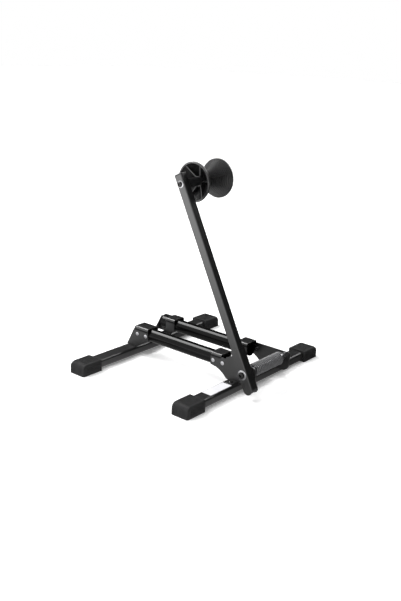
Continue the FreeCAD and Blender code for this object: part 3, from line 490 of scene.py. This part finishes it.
def make_bolts():
    """The pivot's and the axle's bolts, each with its two washers."""
    front, rear = SLEEVE_FRONT, TUBE_Y + PLATE_OUT
    make_washers("pivot_washer_rings", "base", "pivot_washers", PIVOT_WASHER,
                 (PIVOT.x, front, PIVOT.z), (PIVOT.x, rear, PIVOT.z))
    bm = bmesh.new()
    socket_head(bm, (PIVOT.x, front - PIVOT_WASHER[2], PIVOT.z), PIVOT_HEAD)
    shank(bm, (PIVOT.x, front - PIVOT_SUNK, PIVOT.z), PIVOT_SHANK, rear + PIVOT_BEYOND - front)
    finish_piece("pivot_socket_bolt", bm, "base", "black_steel", ["pivot_bolt"])
    make_washers("axle_washer_rings", "arm", "axle_washers", AXLE_WASHER,
                 (AXLE.x, ARM_FRONT, AXLE.z), (AXLE.x, AXLE_REAR, AXLE.z))
    bm = bmesh.new()
    socket_head(bm, (AXLE.x, ARM_FRONT - AXLE_WASHER[2], AXLE.z), AXLE_HEAD)
    shank(bm, (AXLE.x, ARM_FRONT - AXLE_SUNK, AXLE.z), AXLE_SHANK, AXLE_LENGTH)
    finish_piece("axle_socket_bolt", bm, "arm", "black_steel", ["axle_bolt"])


# ---------------------------------------------------------------- roller and cap ridges

NEAR_RIM, FAR_RIM, WAIST_Y, WAIST_HALF = -37.5, 34.5, -2.0, 1.2
RIM_RADIUS, WAIST_RADIUS, RINGS = 36.7, 12.5, 12
RIM_WALL, RIM_WIDTH, RIM_CHAMFER, RIM_SHOULDER, RIM_STEP = 3.0, 3.2, 0.9, 0.6, 0.8
# The share of a ring's step that its own face falls, and the share of its width it takes
RING_FALL, RING_FACE = 0.25, 0.82
HUB_RADIUS, HUB_HALF, BORE = 9.0, 24.0, 6.5
NEAR_FLOOR, FAR_FLOOR, FLOOR_CROWN, WAIST_WALL = -15.5, 12.5, 1.0, 1.0
DISH_LIP, DISH_DRAFT = 3.0, 1.2
# Ribs: how many, their turn in degrees, how far they go into the hub and the rim's wall, and
# how far their ends stand from the middle (root) or below the rim (tip, under)
RIBS, RIB_TURN, RIB_THICK, RIB_EDGE = 6, 7.0, 2.0, 1.5
RIB_IN_HUB, RIB_IN_RIM, RIB_ROOT, RIB_TIP, RIB_UNDER = 0.4, 0.5, 11.0, 2.0, 6.0
# The parting line: its turn in degrees, its depth in the rings and its ends' distances
SEAM_TURN, SEAM_REACH, SEAM_THICK = 24.0, 32.5, 1.3
SEAM_SUNK, SEAM_PROUD, SEAM_DEPTH, SEAM_GAP = 0.8, 1.6, 3.0, 0.6
SEAM_TOP_END, SEAM_LOW_END = 6.5, 5.0


def ringed_side(rim_y):
    """From the rim to the waist: one raised ring after the other, each with a crisp step."""
    out = 1 if rim_y > WAIST_Y else -1
    start, stop = rim_y - out * RIM_WIDTH, WAIST_Y + out * WAIST_HALF
    points = [(RIM_RADIUS - RIM_CHAMFER, rim_y), (RIM_RADIUS, rim_y - out * RIM_CHAMFER),
              (RIM_RADIUS, start + out * RIM_SHOULDER), (RIM_RADIUS - RIM_STEP, start)]
    fall = (RIM_RADIUS - RIM_STEP - WAIST_RADIUS) / RINGS
    run = (stop - start) / RINGS
    for ring in range(RINGS):
        radius, y = RIM_RADIUS - RIM_STEP - fall * ring, start + run * ring
        points += [(radius - fall * RING_FALL, y + run * RING_FACE), (radius - fall, y + run)]
    return points


def make_roller():
    """The ringed roller with a dish in each end, and ribs in the dishes."""
    bm = bmesh.new()
    near, far = ringed_side(NEAR_RIM), ringed_side(FAR_RIM)
    dish_top, dish_foot = RIM_RADIUS - RIM_WALL, WAIST_RADIUS + WAIST_WALL
    dishes = [(dish_top, FAR_RIM), (dish_top - DISH_DRAFT, FAR_RIM - DISH_LIP),
              (dish_foot, FAR_FLOOR), (HUB_RADIUS, FAR_FLOOR - FLOOR_CROWN),
              (HUB_RADIUS, HUB_HALF), (BORE, HUB_HALF), (BORE, -HUB_HALF),
              (HUB_RADIUS, -HUB_HALF), (HUB_RADIUS, NEAR_FLOOR + FLOOR_CROWN),
              (dish_foot, NEAR_FLOOR), (dish_top - DISH_DRAFT, NEAR_RIM + DISH_LIP),
              (dish_top, NEAR_RIM)]
    centre = (AXLE.x, 0.0, AXLE.z)
    lathe(bm, near + far[::-1] + dishes, centre, (0, 1, 0), segments=96, closed=True)
    for end, rim in ((-1, NEAR_RIM), (1, FAR_RIM)):
        for number in range(RIBS):
            add_rib(bm, end, rim, math.radians(360 / RIBS * number + RIB_TURN))
    add_seams(bm)
    finish_piece("ringed_roller", bm, "roller", "roller_plastic", ["roller"])


def flat_bar(bm, points, angle, thick):
    """A plate in the plane through the axle at an angle; points are (radius, y)."""
    spoke = Vector((math.cos(angle), 0.0, math.sin(angle)))
    side = Vector((-math.sin(angle), 0.0, math.cos(angle))) * thick / 2
    centre = Vector((AXLE.x, 0.0, AXLE.z))
    rings = [[bm.verts.new((centre + spoke * radius + Vector((0, y, 0)) + side * sign) * MM)
              for radius, y in points] for sign in (-1, 1)]
    for ring in rings:
        bm.faces.new(ring)
    for index in range(len(points)):
        after = (index + 1) % len(points)
        bm.faces.new((rings[0][index], rings[0][after], rings[1][after], rings[1][index]))


def add_rib(bm, end, rim, angle):
    """A rib in a dish, from the hub out to the rim; end is -1 for the near dish."""
    inner, outer = HUB_RADIUS - RIB_IN_HUB, RIM_RADIUS - RIM_WALL + RIB_IN_RIM
    top = rim - end * RIB_TIP
    flat_bar(bm, [(inner, end * RIB_ROOT), (inner, end * HUB_HALF),
                  (HUB_RADIUS + RIB_EDGE, end * HUB_HALF), (outer - RIB_EDGE, top), (outer, top),
                  (outer, rim - end * RIB_UNDER)], angle, RIB_THICK)


def add_seams(bm):
    """The mould's parting line, a fine rib across the rings on two opposite sides."""
    for rim in (NEAR_RIM, FAR_RIM):
        out = 1 if rim > WAIST_Y else -1
        bar = [(WAIST_RADIUS - SEAM_SUNK, WAIST_Y),
               (WAIST_RADIUS + SEAM_PROUD, WAIST_Y + out * SEAM_GAP),
               (SEAM_REACH, rim - out * (RIM_WIDTH + SEAM_TOP_END)),
               (SEAM_REACH - SEAM_DEPTH, rim - out * (RIM_WIDTH + SEAM_LOW_END))]
        for turn in (SEAM_TURN, SEAM_TURN + 180.0):
            flat_bar(bm, bar, math.radians(turn), SEAM_THICK)


LEG_X = 129.0
CAP_HALF, CAP_TOP, CAP_END, CAP_MOUTH, CAP_ROUND = 19.0, 23.0, 203.0, 157.0, 11.0
RIDGES, RIDGE_PITCH, RIDGE_WIDE, RIDGE_PROUD, RIDGE_SUNK = 9, 3.3, 1.2, 0.6, 0.5
RIDGE_LOW, RIDGE_START = 3.5, CAP_MOUTH + 1.5
# The lines along a cap's sides: their heights, half their width and where they end
LINE_HEIGHTS, LINE_HALF, LINE_END = (6.0, 9.6, 13.2, 16.8), 0.7, 193.0


def over_the_end(proud):
    """The line up a cap's end face, over its round and along its top, set out from it."""
    y, z = CAP_END - CAP_ROUND, CAP_TOP - CAP_ROUND
    reach = CAP_ROUND + proud
    angles = [math.radians(9 * step) for step in range(11)]
    arc = [(y + reach * math.cos(angle), z + reach * math.sin(angle)) for angle in angles]
    return [(CAP_END + proud, RIDGE_LOW)] + arc + [(RIDGE_START, CAP_TOP + proud)]


def make_cap_ridges(name, centre_x, end):
    """A cap's fine raised lines: over its end and top, and along both its sides."""
    bm = bmesh.new()
    band = over_the_end(RIDGE_PROUD) + over_the_end(-RIDGE_SUNK)[::-1]
    band = [(end * y, z) for y, z in band]
    for number in range(RIDGES):
        x = centre_x + (number - RIDGES // 2) * RIDGE_PITCH
        prism(bm, band, "X", x - RIDGE_WIDE / 2, x + RIDGE_WIDE / 2)
    start, stop = end * RIDGE_START, end * LINE_END
    for side in (-1, 1):
        face = centre_x + side * CAP_HALF
        spans = sorted((face - side * RIDGE_SUNK, face + side * RIDGE_PROUD))
        for z in LINE_HEIGHTS:
            low, high = z - LINE_HALF, z + LINE_HALF
            prism(bm, [(start, low), (stop, low), (stop, high), (start, high)], "X", *spans)
    finish_piece(name, bm, "base", "cap_rubber")


# ---------------------------------------------------------------- torsion spring

SPRING_RADIUS, SPRING_WIRE, SPRING_TURNS = 10.9, 2.7, 18
SPRING_START, SPRING_STOP, SPRING_TAIL = -42.0, 40.0, math.radians(70.0)
STEPS_A_TURN, TAIL_SHORT = 24, 0.5


def make_spring():
    """The close coil of round wire; each end turns off along the axis into its plate."""
    steps = SPRING_TURNS * STEPS_A_TURN
    whole = 2 * math.pi * SPRING_TURNS
    coil = []
    for step in range(steps + 1):
        angle = SPRING_TAIL + whole * (1 - step / steps)
        y = SPRING_START + (SPRING_STOP - SPRING_START) * step / steps
        coil.append(PIVOT + Vector((SPRING_RADIUS * math.cos(angle), y,
                                    SPRING_RADIUS * math.sin(angle))))
    edge = TUBE_Y + PLATE_OUT - TAIL_SHORT
    path = turned_off(coil[0], coil[1], -edge)[::-1] + coil + turned_off(coil[-1], coil[-2], edge)
    data = bpy.data.curves.new("torsion_coil", "CURVE")
    data.dimensions = "3D"
    data.bevel_depth = SPRING_WIRE / 2 * MM
    data.bevel_resolution = 3
    data.use_fill_caps = True
    spline = data.splines.new("POLY")
    spline.points.add(len(path) - 1)
    for point, place in zip(spline.points, path):
        point.co = (*(place * MM), 1.0)
    data.materials.append(MATERIALS["spring_steel"])
    coil_piece = bpy.data.objects.new("torsion_coil", data)
    bpy.context.scene.collection.objects.link(coil_piece)
    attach(coil_piece, "base")
    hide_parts("torsion_spring")


def turned_off(end, before, edge):
    """A rounded turn from the coil's end to a straight tail along the axis."""
    onward = (end - before).normalized()
    corner = end + onward * SPRING_WIRE
    out = Vector((0.0, math.copysign(SPRING_WIRE, edge), 0.0))
    points = []
    for step in range(1, 7):
        share = step / 6
        points.append(end.lerp(corner, share).lerp(corner.lerp(corner + out, share), share))
    return points + [Vector((corner.x, edge, corner.z))]


# ---------------------------------------------------------------- floor, lamps and world

FLOOR_HALF, FLOOR_GLOW = 12.0, 0.15
# Reflections see the floor's brightness rise along a direction, over a reach in metres
FLOOR_BRIGHT_SIDE = (-0.2, -1.0, 0.0)
FLOOR_REACH = (-0.4, 1.7)
FLOOR_IN_GLOSS = (0.05, 3.2)
# The world's brightness rises towards a direction, between two values of the dot product
WORLD_BRIGHT_SIDE = (-0.25, -0.90, 0.36)
WORLD_EDGES = (-0.1, 0.9)
WORLD_LEVELS = (0.02, 1.0)


def make_floor():
    """A white floor. The camera sees it a little brighter than it is, and reflections see it
    bright in front of the rack and dark behind it."""
    half = FLOOR_HALF
    mesh = bpy.data.meshes.new("floor")
    corners = [(-half, -half, 0), (half, -half, 0), (half, half, 0), (-half, half, 0)]
    mesh.from_pydata(corners, [], [(0, 1, 2, 3)])
    floor = bpy.data.objects.new("floor", mesh)
    bpy.context.scene.collection.objects.link(floor)
    material, tree, shader = new_material("floor_white")
    grain = noise(tree, 3.0)
    tree.links.new(tint(tree, grain, (0.93, 0.93, 0.93), (0.95, 0.95, 0.95)),
                   shader.inputs["Base Color"])
    shader.inputs["Roughness"].default_value = 0.9
    shader.inputs["Specular IOR Level"].default_value = 0.0
    glow = tree.nodes.new("ShaderNodeEmission")
    glow.inputs["Strength"].default_value = FLOOR_GLOW
    mirrored = tree.nodes.new("ShaderNodeEmission")
    tree.links.new(brighter_in_front(tree), mirrored.inputs["Strength"])
    path = tree.nodes.new("ShaderNodeLightPath")
    for_camera = tree.nodes.new("ShaderNodeMixShader")
    tree.links.new(path.outputs["Is Camera Ray"], for_camera.inputs["Fac"])
    tree.links.new(shader.outputs["BSDF"], for_camera.inputs[1])
    add = tree.nodes.new("ShaderNodeAddShader")
    tree.links.new(shader.outputs["BSDF"], add.inputs[0])
    tree.links.new(glow.outputs["Emission"], add.inputs[1])
    tree.links.new(add.outputs["Shader"], for_camera.inputs[2])
    for_gloss = tree.nodes.new("ShaderNodeMixShader")
    tree.links.new(path.outputs["Is Glossy Ray"], for_gloss.inputs["Fac"])
    tree.links.new(for_camera.outputs["Shader"], for_gloss.inputs[1])
    tree.links.new(mirrored.outputs["Emission"], for_gloss.inputs[2])
    output = next(node for node in tree.nodes if node.type == "OUTPUT_MATERIAL")
    tree.links.new(for_gloss.outputs["Shader"], output.inputs["Surface"])
    floor.data.materials.append(material)


def brighter_in_front(tree):
    """What reflections see of the floor: brighter than white well in front of the rack, and
    dark behind it."""
    place = tree.nodes.new("ShaderNodeTexCoord")
    ahead = tree.nodes.new("ShaderNodeVectorMath")
    ahead.operation = "DOT_PRODUCT"
    ahead.inputs[1].default_value = FLOOR_BRIGHT_SIDE
    tree.links.new(place.outputs["Object"], ahead.inputs[0])
    ramp = tree.nodes.new("ShaderNodeMapRange")
    ramp.interpolation_type = "SMOOTHSTEP"
    ramp.inputs["From Min"].default_value, ramp.inputs["From Max"].default_value = FLOOR_REACH
    ramp.inputs["To Min"].default_value, ramp.inputs["To Max"].default_value = FLOOR_IN_GLOSS
    tree.links.new(ahead.outputs["Value"], ramp.inputs["Value"])
    return ramp.outputs["Result"]


def area_lamp(name, place, target, size, power, in_gloss=True):
    """A rectangular lamp, in metres and watts; in_gloss says whether reflections show it."""
    data = bpy.data.lights.new(name, "AREA")
    data.shape = "RECTANGLE"
    data.size, data.size_y = size
    data.energy = power
    lamp = bpy.data.objects.new(name, data)
    lamp.location = place
    aim = Vector(target) - Vector(place)
    lamp.rotation_mode = "QUATERNION"
    lamp.rotation_quaternion = aim.to_track_quat("-Z", "Y")
    lamp.visible_glossy = in_gloss
    bpy.context.scene.collection.objects.link(lamp)


def soft_sun(name, came_from, strength, spread_degrees):
    """A sun with soft shadows, which reflections don't show."""
    data = bpy.data.lights.new(name, "SUN")
    data.energy = strength
    data.angle = math.radians(spread_degrees)
    lamp = bpy.data.objects.new(name, data)
    lamp.rotation_mode = "QUATERNION"
    lamp.rotation_quaternion = (-Vector(came_from)).to_track_quat("-Z", "Y")
    lamp.visible_glossy = False
    bpy.context.scene.collection.objects.link(lamp)


def make_world():
    """White to the camera; to light and reflections, bright on the left front only."""
    world = bpy.data.worlds.new("studio")
    world.use_nodes = True
    tree = world.node_tree
    tree.nodes.clear()
    output = tree.nodes.new("ShaderNodeOutputWorld")
    around = tree.nodes.new("ShaderNodeBackground")
    place = tree.nodes.new("ShaderNodeTexCoord")
    facing = tree.nodes.new("ShaderNodeVectorMath")
    facing.operation = "DOT_PRODUCT"
    facing.inputs[1].default_value = WORLD_BRIGHT_SIDE
    ramp = tree.nodes.new("ShaderNodeMapRange")
    ramp.interpolation_type = "SMOOTHSTEP"
    ramp.inputs["From Min"].default_value, ramp.inputs["From Max"].default_value = WORLD_EDGES
    ramp.inputs["To Min"].default_value, ramp.inputs["To Max"].default_value = WORLD_LEVELS
    tree.links.new(place.outputs["Generated"], facing.inputs[0])
    tree.links.new(facing.outputs["Value"], ramp.inputs["Value"])
    tree.links.new(ramp.outputs["Result"], around.inputs["Strength"])
    seen = tree.nodes.new("ShaderNodeBackground")
    path = tree.nodes.new("ShaderNodeLightPath")
    mix = tree.nodes.new("ShaderNodeMixShader")
    for background in (around, seen):
        background.inputs["Color"].default_value = (1.0, 1.0, 1.0, 1.0)
    tree.links.new(path.outputs["Is Camera Ray"], mix.inputs["Fac"])
    tree.links.new(around.outputs["Background"], mix.inputs[1])
    tree.links.new(seen.outputs["Background"], mix.inputs[2])
    tree.links.new(mix.outputs["Shader"], output.inputs["Surface"])
    bpy.context.scene.world = world


# ---------------------------------------------------------------- everything is made in turn

for node_name, width in ARM_BEVELS.items():
    soften(NODES[node_name], width)
for end_name, end in (("front", -1), ("rear", 1)):
    for side_name, side in (("left", -1), ("right", 1)):
        make_cap_ridges(f"end_cap_{end_name}_{side_name}_ridges", side * LEG_X, end)
make_roller()
make_spring()
make_tube("cross_tube_front_round", -1, "cross_tube_front")
make_tube("cross_tube_rear_round", 1, "cross_tube_rear")
make_left_bracket("bracket_front_left_folded", -1, "bracket_front_left")
make_left_bracket("bracket_rear_left_folded", 1, "bracket_rear_left")
make_right_bracket("bracket_front_right_folded", -1, "bracket_front_right")
make_right_bracket("bracket_rear_right_folded", 1, "bracket_rear_right")
make_rivets()
make_bolts()

make_camera()
make_floor()
make_world()
# The sun comes from a direction. Each lamp has a place, a target, a size and a power.
soft_sun("soft_sun", (-0.4, -0.5, 1.0), 2.2, 50.0)
area_lamp("strip_lamp", (-1.3, 0.0, 1.7), (0.0, 0.0, 0.05), (1.2, 0.6), 32.0)
area_lamp("front_lamp", (-1.5, -1.75, 0.8), (0.0, 0.0, 0.25), (1.0, 0.8), 22.0,
          in_gloss=False)
area_lamp("back_lamp", (0.2, 1.6, 1.5), (0.0, 0.0, 0.05), (1.4, 0.4), 12.0)

bpy.context.scene.view_settings.view_transform = "Standard"
